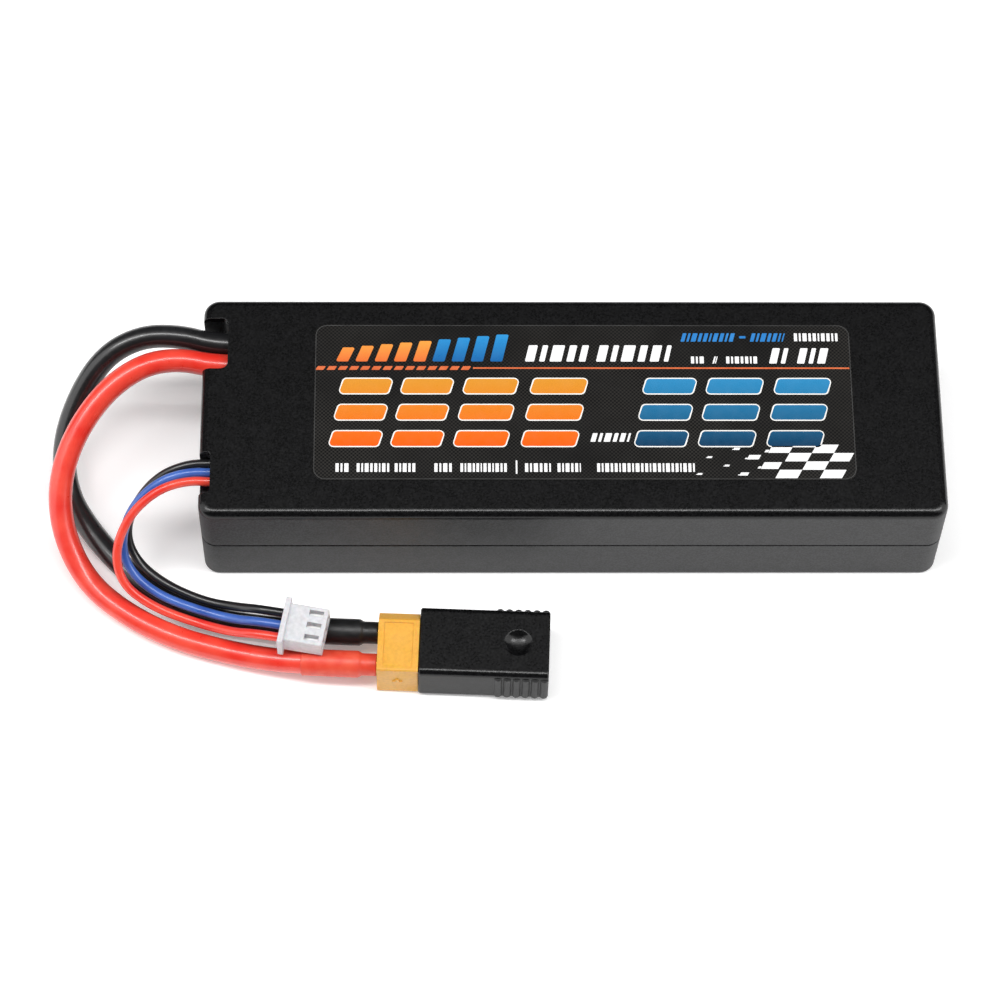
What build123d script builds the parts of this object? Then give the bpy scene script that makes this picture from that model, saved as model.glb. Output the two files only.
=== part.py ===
"""Two-cell lipo battery pack in a hard case, with its leads, plugs and adapter.

Millimetres. The origin is the middle of the case's underside: +X runs along the case, away from
the leads, +Y across it, away from the main plug, and +Z up.
"""

import os

from build123d import *
from math import cos, pi, radians, sin, tan

os.makedirs("parts", exist_ok=True)

# ---- driving dimensions ----

# Case
CASE_LENGTH = 138.0
CASE_WIDTH = 46.0
CASE_HEIGHT = 24.0
CASE_CORNER = 3.0
PARTING_Z = 11.8
WALL = 1.6
PLATE = 1.5
TOP_EDGE = 1.6
BOTTOM_EDGE = 0.6
PARTING_BEVEL = 0.25
LIP_HEIGHT = 1.2
LIP_THICK = 0.7
LIP_GAP = 0.1

# Alcoves in the left end of the top shell, where the leads come out
POWER_ALCOVE_Y = (7.9, 18.65)
POWER_ALCOVE_DEPTH = 4.75
POWER_ALCOVE_FLOOR = 14.4
POWER_SLOT_AT = (13.05, 19.65)
POWER_SLOT_SIZE = (10.0, 4.8)
BALANCE_ALCOVE_Y = (-18.2, -9.7)
BALANCE_ALCOVE_DEPTH = 2.1
BALANCE_ALCOVE_FLOOR = 18.6
BALANCE_SLOT_AT = (-12.5, 20.9)
BALANCE_SLOT_SIZE = (6.2, 2.1)
ALCOVE_WALL = 1.0
POWER_ALCOVE_CORNER = 1.4
BALANCE_ALCOVE_CORNER = 0.7

# Label
LABEL_SIZE = (100.4, 32.9)
LABEL_CENTRE = (2.2, 0.8)
LABEL_CORNER = 2.3
LABEL_THICK = 0.15

# Cells, stacked between foam pads
CELL_THICK = 9.5
CELL_WIDTH = 41.6
CELL_X = (-56.5, 66.0)
CELL_EDGE = 1.6
CELL_FOLD = 0.3
BOTTOM_PAD_THICK = 0.8
TAPE_THICK = 0.2
PAD_INSET = 1.5
TAPE_INSET = 5.0
END_PAD_INSET = 2.0
TERRACE_LENGTH = 3.0
TERRACE_WIDTH = 36.0
TERRACE_THICK = 0.6

# Tab board
BOARD_X = -62.0
BOARD_THICK = 1.0
BOARD_Y = 19.0
BOARD_Z = (3.0, 21.8)
BOARD_FILM = 0.3
FILM_MARGIN = 0.5
TAB_WIDTH = 8.0
TAB_THICK = 0.3
TAB_Y = 9.0
TAB_SLOT_GAP = 0.2
RIB_GAP = 0.15
RIB_SIZE = (1.0, 5.0, 3.6)

# Leads
POWER_DIAMETER = 4.4
BALANCE_DIAMETER = 1.7

# Main plug: it lies in its own frame, along the floor from the leads' ends
PLUG_AT = (-36.0, -40.9)
PLUG_TURN = -2.2
PLUG_AXIS_Z = 4.8
PLUG_WIDTH = 12.8
PLUG_HEIGHT = 9.2
PLUG_LENGTH = 7.6
PLUG_CHAMFER = 2.4
PLUG_EDGE = 0.4
PIN_PITCH = 6.5
NOSE_LENGTH = 8.2
NOSE_WIDTH = 11.4
NOSE_HEIGHT = 5.8
NOSE_CHAMFER = 1.6
SOCKET_RADIUS = 2.05
SOCKET_BORE = 1.75
SOCKET_COLLAR = 2.4
COLLAR_LENGTH = 1.0
SOCKET_DEPTH = 9.0
SOCKET_FIT = 0.05
SOCKET_RECESS = 0.4
CUP_RADIUS = 1.75
CUP_LENGTH = 3.3
PANEL_SIZE = (5.4, 8.8)
PANEL_Y = -1.0
PANEL_DEPTH = 0.2
MARK_LENGTH = 1.9
MARK_WIDTH = 0.55
MARK_PROUD = 0.25
SHRINK_WALL = 0.3
SHRINK_FIT = 0.03
SHRINK_END_GAP = 0.15
SHRINK_STEP = 0.4

# Adapter, pushed on the plug's nose
ADAPTER_START = 7.7
ADAPTER_LENGTH = 24.0
ADAPTER_WIDTH = 13.8
ADAPTER_HEIGHT = 9.6
ADAPTER_CAVITY = 9.4
ADAPTER_EDGE = 1.2
ADAPTER_END_EDGE = 0.25
NOSE_GAP = 0.15
MIDDLE_WALL = 3.0
ADAPTER_PIN_RADIUS = 1.70
ADAPTER_PIN_LENGTH = 7.9
PIN_ROUND = 0.8
PIN_SLIT = 0.4
PIN_SLIT_LENGTH = 5.5
PIN_COLLAR = 2.2
PIN_COLLAR_LENGTH = 0.8
BLADE_SLOT = (5.6, 2.4)
BLADE_WIDTH = 4.8
BLADE_THICK = 0.8
BLADE_LENGTH = 9.6
BLADE_BOW = 0.8
BLADE_BOW_AT = (0.3, 0.85)
GRIP_RIBS = 6
GRIP_PITCH = 1.7
GRIP_RADIUS = 0.8
GRIP_PROUD = 0.45
DIMPLE_AT = 25.9
DIMPLE_RADIUS = 2.6
DIMPLE_DEPTH = 1.1

# Balance plug: it lies on the two heat shrinks
BALANCE_AT = (-45.6, -39.8)
BALANCE_TURN = -10.5
BALANCE_Z = 9.6
BALANCE_BODY = (7.2, 7.6, 4.5)
BALANCE_FLANGE = (1.0, 9.4, 5.7)
BALANCE_PITCH = 2.5
BALANCE_CAVITY = 1.9
BALANCE_WINDOW = (2.7, 1.05)
WINDOW_START = 0.8
BALANCE_EDGE = 0.3
CONTACT_INSET = 1.4
CONTACT_LENGTH = 6.0
CONTACT_SIZE = (1.6, 1.4)
CONTACT_MOUTH = 0.8
CONTACT_MOUTH_DEPTH = 3.6

# ---- worked out from them ----

HALF_LENGTH = CASE_LENGTH / 2
HALF_WIDTH = CASE_WIDTH / 2
INNER_TOP = CASE_HEIGHT - PLATE
LOWER_CELL_Z = PLATE + BOTTOM_PAD_THICK
UPPER_CELL_Z = LOWER_CELL_Z + CELL_THICK + TAPE_THICK
CELL_TOP_Z = UPPER_CELL_Z + CELL_THICK
CELL_MIDDLE_Z = {"lower": LOWER_CELL_Z + CELL_THICK / 2, "upper": UPPER_CELL_Z + CELL_THICK / 2}
ALONG = (cos(radians(PLUG_TURN)), sin(radians(PLUG_TURN)), 0)
BALANCE_ALONG = (cos(radians(BALANCE_TURN)), sin(radians(BALANCE_TURN)), 0)
BALANCE_REAR = -(BALANCE_BODY[0] + BALANCE_FLANGE[0])
GRIP_HEIGHT = ADAPTER_HEIGHT - 2 * ADAPTER_EDGE
DIMPLE_SPHERE = (DIMPLE_RADIUS**2 + DIMPLE_DEPTH**2) / (2 * DIMPLE_DEPTH)
SIDES = {"negative": 1, "positive": -1}
CROSS = (-ALONG[1], ALONG[0], 0)
BALANCE_CROSS = (-BALANCE_ALONG[1], BALANCE_ALONG[0], 0)

# Planes of the main plug: SECTION looks along it, PLAN looks down on it
PLUG_ORIGIN = (PLUG_AT[0], PLUG_AT[1], PLUG_AXIS_Z)
SECTION = Plane(origin=PLUG_ORIGIN, x_dir=CROSS, z_dir=ALONG)
PLAN = Plane(origin=PLUG_ORIGIN, x_dir=ALONG, z_dir=(0, 0, 1))
BALANCE_ORIGIN = (BALANCE_AT[0], BALANCE_AT[1], BALANCE_Z)
BALANCE_SECTION = Plane(origin=BALANCE_ORIGIN, x_dir=BALANCE_CROSS, z_dir=BALANCE_ALONG)
BALANCE_PLAN = Plane(origin=BALANCE_ORIGIN, x_dir=BALANCE_ALONG, z_dir=(0, 0, 1))

# Routes of the leads, from the tab board to the plugs
LEADS = {
    "power_lead_negative": (POWER_DIAMETER, [
        (-62.0, 15.3, 19.7), (-67.1, 15.3, 19.7), (-73.6, 16.5, 21.1), (-81.0, 16.5, 20.9),
        (-88.0, 13.7, 18.2), (-93.2, 7.9, 12.2), (-96.2, 0.6, 6.2), (-95.2, -7.5, 2.9),
        (-91.0, -14.6, 2.25), (-84.6, -22.5, 2.25), (-76.4, -29.3, 2.25), (-67.2, -33.6, 2.3),
        (-57.3, -35.6, 3.0), (-46.867, -37.23, 4.8), (-39.175, -37.526, 4.8),
    ]),
    "power_lead_positive": (POWER_DIAMETER, [
        (-62.0, 10.8, 19.6), (-67.1, 10.8, 19.6), (-73.6, 11.4, 21.3), (-80.4, 9.9, 21.7),
        (-87.4, 5.4, 19.6), (-93.2, -2.0, 15.6), (-96.0, -10.0, 11.2), (-95.2, -18.0, 6.6),
        (-90.8, -26.0, 2.7), (-83.4, -32.4, 2.25), (-74.2, -37.4, 2.25), (-64.0, -40.4, 2.3),
        (-55.6, -42.4, 3.2), (-47.117, -43.725, 4.8), (-39.424, -44.021, 4.8),
    ]),
    "balance_lead_negative": (BALANCE_DIAMETER, [
        (-62.0, -10.6, 20.9), (-66.2, -10.6, 20.9), (-71.0, -10.7, 21.1), (-76.6, -12.0, 19.0),
        (-81.0, -14.9, 14.4), (-83.4, -18.8, 9.2), (-81.4, -23.2, 5.8), (-75.8, -28.0, 5.5),
        (-68.4, -31.3, 5.1), (-62.6, -33.0, 6.4), (-57.43, -35.07, 9.6), (-51.83, -36.1, 9.6),
    ]),
    "balance_lead_middle": (BALANCE_DIAMETER, [
        (-62.0, -12.5, 20.9), (-66.2, -12.5, 20.9), (-71.2, -12.6, 21.4), (-76.6, -13.9, 20.2),
        (-81.6, -17.1, 16.5), (-84.0, -21.6, 11.0), (-82.6, -25.8, 7.2), (-77.2, -30.2, 5.7),
        (-69.4, -33.3, 5.5), (-62.8, -35.6, 6.4), (-57.89, -37.52, 9.6), (-52.29, -38.56, 9.6),
    ]),
    "balance_lead_positive": (BALANCE_DIAMETER, [
        (-62.0, -14.4, 20.9), (-66.2, -14.4, 20.9), (-71.4, -14.5, 21.6), (-77.0, -16.2, 20.9),
        (-82.2, -19.8, 17.4), (-84.9, -24.5, 12.1), (-83.6, -29.1, 7.6), (-77.6, -32.6, 5.0),
        (-69.6, -35.4, 4.3), (-63.0, -38.2, 6.4), (-58.35, -39.98, 9.6), (-52.74, -41.02, 9.6),
    ]),
}


def save(piece, name):
    """Labels a finished piece and writes its STEP file."""
    piece.part.label = name
    export_step(piece.part, f"parts/{name}.step")


def bend_radii(points):
    """The radius of each corner of a route: 0.45 of its shorter run, over the tangent of half the turn."""
    radii = []
    for before, corner, after in zip(points, points[1:], points[2:]):
        arriving = Vector(*corner) - Vector(*before)
        leaving = Vector(*after) - Vector(*corner)
        half_turn = radians(arriving.get_angle(leaving)) / 2
        radii.append(0.45 * min(arriving.length, leaving.length) / tan(half_turn))
    return radii


# ---- case ----

INNER_LENGTH = CASE_LENGTH - 2 * WALL
INNER_WIDTH = CASE_WIDTH - 2 * WALL
INNER_CORNER = CASE_CORNER - WALL

with BuildPart() as bottom_shell:
    with BuildSketch():
        RectangleRounded(CASE_LENGTH, CASE_WIDTH, CASE_CORNER)
    extrude(amount=PARTING_Z)
    chamfer(faces().sort_by(Axis.Z)[-1].edges(), PARTING_BEVEL)
    fillet(faces().sort_by(Axis.Z)[0].edges(), BOTTOM_EDGE)
    with BuildSketch(Plane.XY.offset(PLATE)):
        RectangleRounded(INNER_LENGTH, INNER_WIDTH, INNER_CORNER)
    extrude(amount=CASE_HEIGHT, mode=Mode.SUBTRACT)
    # Glue lip that stands up inside the top shell
    with BuildSketch(Plane.XY.offset(PARTING_Z)):
        RectangleRounded(
            INNER_LENGTH + 2 * LIP_THICK, INNER_WIDTH + 2 * LIP_THICK, INNER_CORNER + LIP_THICK
        )
        RectangleRounded(INNER_LENGTH, INNER_WIDTH, INNER_CORNER, mode=Mode.SUBTRACT)
    extrude(amount=LIP_HEIGHT)
    # Two grooved blocks that hold the tab board's ends
    board_middle = BOARD_X + BOARD_THICK / 2
    block_y = BOARD_Y - RIB_SIZE[2] / 2
    with BuildSketch(Plane.XY.offset(PLATE)):
        with Locations((board_middle, block_y), (board_middle, -block_y)):
            Rectangle(BOARD_THICK + 2 * RIB_GAP + 2 * RIB_SIZE[0], RIB_SIZE[2])
    extrude(amount=RIB_SIZE[1])
    with BuildSketch(Plane.XY.offset(BOARD_Z[0])):
        with Locations((board_middle, block_y), (board_middle, -block_y)):
            Rectangle(BOARD_THICK + 2 * RIB_GAP, RIB_SIZE[2])
    extrude(amount=RIB_SIZE[1], mode=Mode.SUBTRACT)
save(bottom_shell, "bottom_shell")

# (sides, depth, floor, inner corner, place and size of the slot behind)
ALCOVES = [
    (POWER_ALCOVE_Y, POWER_ALCOVE_DEPTH, POWER_ALCOVE_FLOOR, POWER_ALCOVE_CORNER,
     POWER_SLOT_AT, POWER_SLOT_SIZE),
    (BALANCE_ALCOVE_Y, BALANCE_ALCOVE_DEPTH, BALANCE_ALCOVE_FLOOR, BALANCE_ALCOVE_CORNER,
     BALANCE_SLOT_AT, BALANCE_SLOT_SIZE),
]

with BuildPart() as top_shell:
    with BuildSketch(Plane.XY.offset(PARTING_Z)):
        RectangleRounded(CASE_LENGTH, CASE_WIDTH, CASE_CORNER)
    extrude(amount=CASE_HEIGHT - PARTING_Z)
    fillet(faces().sort_by(Axis.Z)[-1].edges(), TOP_EDGE)
    chamfer(faces().sort_by(Axis.Z)[0].edges(), PARTING_BEVEL)
    with BuildSketch(Plane.XY.offset(PARTING_Z)):
        RectangleRounded(INNER_LENGTH, INNER_WIDTH, INNER_CORNER)
    extrude(amount=INNER_TOP - PARTING_Z, mode=Mode.SUBTRACT)
    # Rebate for the bottom shell's lip
    rebate = LIP_THICK + LIP_GAP
    with BuildSketch(Plane.XY.offset(PARTING_Z)):
        RectangleRounded(INNER_LENGTH + 2 * rebate, INNER_WIDTH + 2 * rebate, INNER_CORNER + rebate)
    extrude(amount=LIP_HEIGHT + LIP_GAP, mode=Mode.SUBTRACT)
    for (low_y, high_y), depth, floor, corner, slot_at, slot_size in ALCOVES:
        width = high_y - low_y
        middle_y = (high_y + low_y) / 2
        # Walls and floor that close the alcove off from the cells
        box_depth = depth + ALCOVE_WALL - WALL
        with BuildSketch(Plane.XY.offset(floor - ALCOVE_WALL)):
            with Locations((-HALF_LENGTH + WALL + box_depth / 2, middle_y)):
                Rectangle(box_depth, width + 2 * ALCOVE_WALL)
        extrude(amount=INNER_TOP - floor + ALCOVE_WALL)
        # The alcove itself, open at the top and at the end
        with BuildSketch(Plane.XY.offset(floor)):
            with Locations((-HALF_LENGTH, middle_y)):
                RectangleRounded(2 * depth, width, corner)
        extrude(amount=CASE_HEIGHT, mode=Mode.SUBTRACT)
        # Slot that the leads come through, which also cuts into the rounded corners
        with BuildSketch(Plane.YZ.offset(-HALF_LENGTH + depth - corner)):
            with Locations(slot_at):
                SlotOverall(*slot_size)
        extrude(amount=corner + ALCOVE_WALL, mode=Mode.SUBTRACT)
save(top_shell, "top_shell")

with BuildPart() as label:
    with BuildSketch(Plane.XY.offset(CASE_HEIGHT)):
        with Locations(LABEL_CENTRE):
            RectangleRounded(*LABEL_SIZE, LABEL_CORNER)
    extrude(amount=LABEL_THICK)
save(label, "label")

# ---- cells and what holds them ----

CELL_LENGTH = CELL_X[1] - CELL_X[0]
CELL_MIDDLE_X = (CELL_X[1] + CELL_X[0]) / 2
TERRACE_END = CELL_X[0] - TERRACE_LENGTH

for level, base in (("lower", LOWER_CELL_Z), ("upper", UPPER_CELL_Z)):
    middle_z = CELL_MIDDLE_Z[level]
    with BuildPart() as cell:
        with BuildSketch(Plane.XY.offset(base)):
            with Locations((CELL_MIDDLE_X, 0)):
                RectangleRounded(CELL_LENGTH, CELL_WIDTH, CELL_EDGE)
        extrude(amount=CELL_THICK)
        fillet(faces().sort_by(Axis.Z)[-1].edges(), CELL_EDGE / 2)
        fillet(faces().sort_by(Axis.Z)[0].edges(), CELL_EDGE / 2)
        # Sealed terrace at the tab end, and the side seams folded against the pouch
        with BuildSketch(Plane.XY.offset(middle_z - TERRACE_THICK / 2)):
            with Locations((CELL_X[0] - TERRACE_LENGTH / 2, 0)):
                Rectangle(TERRACE_LENGTH, TERRACE_WIDTH)
        extrude(amount=TERRACE_THICK)
        with BuildSketch(Plane.XY.offset(middle_z - CELL_THICK / 4)):
            with Locations((CELL_MIDDLE_X, 0)):
                Rectangle(CELL_LENGTH - 4 * CELL_EDGE, CELL_WIDTH + 2 * CELL_FOLD)
        extrude(amount=CELL_THICK / 2)
    save(cell, f"cell_{level}")
    for pole, side in SIDES.items():
        # The lower cell's positive tab and the upper cell's negative tab are on the leads' side
        tab_y = TAB_Y * (side if level == "upper" else -side)
        with BuildPart() as tab:
            with BuildSketch(Plane.YZ.offset(BOARD_X)):
                with Locations((tab_y, middle_z)):
                    Rectangle(TAB_WIDTH, TAB_THICK)
            extrude(amount=TERRACE_END - BOARD_X)
        save(tab, f"cell_tab_{level}_{pole}")

# (name, how far inside the cells' edges, z from and to)
PADS = [
    ("bottom_pad", PAD_INSET, PLATE, LOWER_CELL_Z),
    ("cell_tape", TAPE_INSET, LOWER_CELL_Z + CELL_THICK, UPPER_CELL_Z),
    ("top_pad", PAD_INSET, CELL_TOP_Z, INNER_TOP),
]
for name, inset, low_z, high_z in PADS:
    with BuildPart() as pad:
        with BuildSketch(Plane.XY.offset(low_z)):
            with Locations((CELL_MIDDLE_X, 0)):
                Rectangle(CELL_LENGTH - 2 * inset, CELL_WIDTH - 2 * inset)
        extrude(amount=high_z - low_z)
    save(pad, name)

with BuildPart() as end_pad:
    with BuildSketch(Plane.YZ.offset(CELL_X[1])):
        with Locations((0, (LOWER_CELL_Z + CELL_TOP_Z) / 2)):
            Rectangle(CELL_WIDTH - 2 * END_PAD_INSET, CELL_TOP_Z - LOWER_CELL_Z - 2 * END_PAD_INSET)
    extrude(amount=HALF_LENGTH - WALL - CELL_X[1])
save(end_pad, "end_pad")

# (name, x of the leads' side, thickness, half width)
SHEETS = [
    ("tab_board", BOARD_X, BOARD_THICK, BOARD_Y),
    ("board_insulator", BOARD_X + BOARD_THICK, BOARD_FILM, BOARD_Y - RIB_SIZE[2] - FILM_MARGIN),
]
for name, low_x, thickness, half_width in SHEETS:
    with BuildPart() as sheet:
        with BuildSketch(Plane.YZ.offset(low_x)):
            with Locations((0, (BOARD_Z[0] + BOARD_Z[1]) / 2)):
                Rectangle(2 * half_width, BOARD_Z[1] - BOARD_Z[0])
            # A slot for each tab
            slots = [(y, z) for y in (-TAB_Y, TAB_Y) for z in CELL_MIDDLE_Z.values()]
            with Locations(*slots):
                Rectangle(TAB_WIDTH + 2 * TAB_SLOT_GAP, TAB_THICK + 2 * TAB_SLOT_GAP, mode=Mode.SUBTRACT)
        extrude(amount=thickness)
    save(sheet, name)

# ---- leads and heat shrinks ----

for name, (diameter, route) in LEADS.items():
    radii = bend_radii(route)
    with BuildPart() as lead:
        with BuildLine() as path:
            FilletPolyline(*route, radius=radii)
        with BuildSketch(Plane(origin=path.wire() @ 0, z_dir=path.wire() % 0)):
            Circle(diameter / 2)
        sweep(path=path.wire())
    save(lead, name)
    length = path.wire().length
    section = pi * diameter**2 / 4
    print(name, "length", round(length, 1), "volume over section x length", lead.part.volume / section / length)
    print("  radii in diameters", [round(radius / diameter, 1) for radius in radii])

for pole in SIDES:
    # It starts half way along the lead's last run but one, and follows the lead
    route = LEADS[f"power_lead_{pole}"][1]
    start = (Vector(*route[-3]) + Vector(*route[-2])) / 2
    inner = POWER_DIAMETER / 2 + SHRINK_FIT
    with BuildPart() as shrink:
        with BuildLine() as path:
            FilletPolyline(start, route[-2], route[-1], radius=bend_radii(route)[-1])
        with BuildSketch(Plane(origin=path.wire() @ 0, z_dir=path.wire() % 0)):
            Circle(inner + SHRINK_WALL)
            Circle(inner, mode=Mode.SUBTRACT)
        sweep(path=path.wire())
        # Its narrower end, on the solder cup, past a short step
        on_cup = CUP_RADIUS + SHRINK_FIT
        for outer, length in (
            (inner + SHRINK_WALL, SHRINK_STEP),
            (on_cup + SHRINK_WALL, CUP_LENGTH - SHRINK_END_GAP),
        ):
            with BuildSketch(Plane(origin=path.wire() @ 1, z_dir=path.wire() % 1)):
                Circle(outer)
                Circle(on_cup, mode=Mode.SUBTRACT)
            extrude(amount=length)
    save(shrink, f"heat_shrink_{pole}")

# ---- main plug ----

PIN_SPOTS = [(side * PIN_PITCH / 2, 0) for side in SIDES.values()]

with BuildPart() as main_plug_housing:
    with BuildSketch(SECTION):
        Rectangle(PLUG_WIDTH, PLUG_HEIGHT)
        chamfer(vertices().group_by(Axis.X)[-1], PLUG_CHAMFER)
    extrude(amount=PLUG_LENGTH)
    fillet(edges().filter_by(Plane(origin=(0, 0, 0), z_dir=ALONG), reverse=True), PLUG_EDGE)
    with BuildSketch(SECTION.offset(PLUG_LENGTH)):
        Rectangle(NOSE_WIDTH, NOSE_HEIGHT)
        chamfer(vertices().group_by(Axis.X)[-1], NOSE_CHAMFER)
    extrude(amount=NOSE_LENGTH)
    # Bores and counterbores of the two sockets
    with BuildSketch(SECTION):
        with Locations(*PIN_SPOTS):
            Circle(SOCKET_RADIUS + SOCKET_FIT)
    extrude(amount=PLUG_LENGTH + NOSE_LENGTH, mode=Mode.SUBTRACT)
    with BuildSketch(SECTION):
        with Locations(*PIN_SPOTS):
            Circle(SOCKET_COLLAR + SOCKET_FIT)
    extrude(amount=COLLAR_LENGTH, mode=Mode.SUBTRACT)
    # Shallow panel in the top
    with BuildSketch(PLAN.offset(PLUG_HEIGHT / 2)):
        with Locations((PLUG_LENGTH / 2, PANEL_Y)):
            Rectangle(*PANEL_SIZE)
    extrude(amount=-PANEL_DEPTH, mode=Mode.SUBTRACT)
    # Plus and minus marks on the two short sides
    with BuildSketch(Plane(origin=PLAN.from_local_coords((PLUG_LENGTH / 2, -PLUG_WIDTH / 2, 0)),
                           x_dir=ALONG, z_dir=(-Vector(*CROSS)))):
        Rectangle(MARK_LENGTH, MARK_WIDTH)
        Rectangle(MARK_WIDTH, MARK_LENGTH)
    extrude(amount=MARK_PROUD)
    with BuildSketch(Plane(origin=PLAN.from_local_coords((PLUG_LENGTH / 2, PLUG_WIDTH / 2, 0)),
                           x_dir=ALONG, z_dir=CROSS)):
        Rectangle(MARK_LENGTH, MARK_WIDTH)
    extrude(amount=MARK_PROUD)
save(main_plug_housing, "main_plug_housing")

SOCKET_END = PLUG_LENGTH + NOSE_LENGTH - SOCKET_RECESS
for pole, side in SIDES.items():
    spot = (side * PIN_PITCH / 2, 0)
    with BuildPart() as main_socket:
        # (start along the plug, length, radius) of the solder cup, the collar and the barrel
        for start, length, radius in (
            (-CUP_LENGTH, CUP_LENGTH, CUP_RADIUS),
            (0, COLLAR_LENGTH, SOCKET_COLLAR),
            (COLLAR_LENGTH, SOCKET_END - COLLAR_LENGTH, SOCKET_RADIUS),
        ):
            with BuildSketch(SECTION.offset(start)):
                with Locations(spot):
                    Circle(radius)
            extrude(amount=length)
        with BuildSketch(SECTION.offset(SOCKET_END)):
            with Locations(spot):
                Circle(SOCKET_BORE)
        extrude(amount=-SOCKET_DEPTH, mode=Mode.SUBTRACT)
    save(main_socket, f"main_socket_{pole}")

# ---- adapter ----

CAVITY_END = ADAPTER_START + ADAPTER_CAVITY
SLOT_START = CAVITY_END + MIDDLE_WALL
ADAPTER_END = ADAPTER_START + ADAPTER_LENGTH
GRIP_START = ADAPTER_END - GRIP_RADIUS - (GRIP_RIBS - 1) * GRIP_PITCH

with BuildPart() as adapter_body:
    with BuildSketch(SECTION.offset(ADAPTER_START)):
        Rectangle(ADAPTER_WIDTH, ADAPTER_HEIGHT)
        fillet(vertices(), ADAPTER_EDGE)
    extrude(amount=ADAPTER_LENGTH)
    chamfer(edges().filter_by(Plane(origin=(0, 0, 0), z_dir=ALONG)), ADAPTER_END_EDGE)
    # Round grip ribs on the two short sides
    rib_spots = [
        (GRIP_START + rib * GRIP_PITCH, side * (ADAPTER_WIDTH / 2 + GRIP_PROUD - GRIP_RADIUS))
        for rib in range(GRIP_RIBS)
        for side in SIDES.values()
    ]
    with BuildSketch(PLAN.offset(-GRIP_HEIGHT / 2)):
        with Locations(*rib_spots):
            Circle(GRIP_RADIUS)
    extrude(amount=GRIP_HEIGHT)
    # Cavity for the plug's nose, with the same two cut corners
    with BuildSketch(SECTION.offset(ADAPTER_START)):
        Rectangle(NOSE_WIDTH + 2 * NOSE_GAP, NOSE_HEIGHT + 2 * NOSE_GAP)
        chamfer(vertices().group_by(Axis.X)[-1], NOSE_CHAMFER)
    extrude(amount=ADAPTER_CAVITY, mode=Mode.SUBTRACT)
    # Holes for the pins through the middle wall, and the slots of the output side
    with BuildSketch(SECTION.offset(CAVITY_END)):
        with Locations(*PIN_SPOTS):
            Circle(ADAPTER_PIN_RADIUS + SOCKET_FIT)
    extrude(amount=MIDDLE_WALL, mode=Mode.SUBTRACT)
    with BuildSketch(SECTION.offset(SLOT_START)):
        with Locations(*PIN_SPOTS):
            Rectangle(*BLADE_SLOT)
    extrude(amount=ADAPTER_END - SLOT_START, mode=Mode.SUBTRACT)
    # Round dimple in the top
    with Locations(PLAN.from_local_coords((DIMPLE_AT, 0, ADAPTER_HEIGHT / 2 - DIMPLE_DEPTH + DIMPLE_SPHERE))):
        Sphere(DIMPLE_SPHERE, mode=Mode.SUBTRACT)
save(adapter_body, "adapter_body")

PIN_TIP = CAVITY_END - ADAPTER_PIN_LENGTH
for pole, side in SIDES.items():
    spot = (side * PIN_PITCH / 2, 0)
    with BuildPart() as adapter_pin:
        with BuildSketch(SECTION.offset(PIN_TIP)):
            with Locations(spot):
                Circle(ADAPTER_PIN_RADIUS)
        extrude(amount=SLOT_START - PIN_TIP)
        fillet(edges().filter_by(GeomType.CIRCLE).sort_by(Axis(PLUG_ORIGIN, ALONG))[0], PIN_ROUND)
        with BuildSketch(SECTION.offset(CAVITY_END - PIN_COLLAR_LENGTH)):
            with Locations(spot):
                Circle(PIN_COLLAR)
        extrude(amount=PIN_COLLAR_LENGTH)
        # Two crossed slits that let the pin spring
        with BuildSketch(SECTION.offset(PIN_TIP)):
            with Locations(spot):
                Rectangle(PIN_SLIT, 2 * PIN_COLLAR)
                Rectangle(2 * PIN_COLLAR, PIN_SLIT)
        extrude(amount=PIN_SLIT_LENGTH, mode=Mode.SUBTRACT)
    save(adapter_pin, f"adapter_pin_{pole}")

    # Flat contact with a raised bow, lying on the slot's lower wall
    low = -BLADE_SLOT[1] / 2
    high = low + BLADE_THICK
    bow_start, bow_end = (SLOT_START + BLADE_LENGTH * part for part in BLADE_BOW_AT)
    bow_middle = (bow_start + bow_end) / 2
    blade_end = SLOT_START + BLADE_LENGTH
    side_plane = Plane(
        origin=PLAN.from_local_coords((0, side * PIN_PITCH / 2, 0)), x_dir=ALONG, z_dir=-Vector(*CROSS)
    )
    with BuildPart() as adapter_blade:
        with BuildSketch(side_plane):
            with BuildLine():
                Polyline((bow_start, low), (SLOT_START, low), (SLOT_START, high), (bow_start, high))
                ThreePointArc((bow_start, high), (bow_middle, high + BLADE_BOW), (bow_end, high))
                Polyline((bow_end, high), (blade_end, high), (blade_end, low), (bow_end, low))
                ThreePointArc((bow_end, low), (bow_middle, low + BLADE_BOW), (bow_start, low))
            make_face()
        extrude(amount=BLADE_WIDTH / 2, both=True)
    save(adapter_blade, f"adapter_blade_{pole}")

# ---- balance plug ----

BALANCE_SPOTS = {"negative": BALANCE_PITCH, "middle": 0, "positive": -BALANCE_PITCH}
BODY_LENGTH, BODY_WIDTH, BODY_HEIGHT = BALANCE_BODY
FLANGE_THICK, FLANGE_WIDTH, FLANGE_HEIGHT = BALANCE_FLANGE
CAVITY_SPOTS = [(across, 0) for across in BALANCE_SPOTS.values()]

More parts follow.
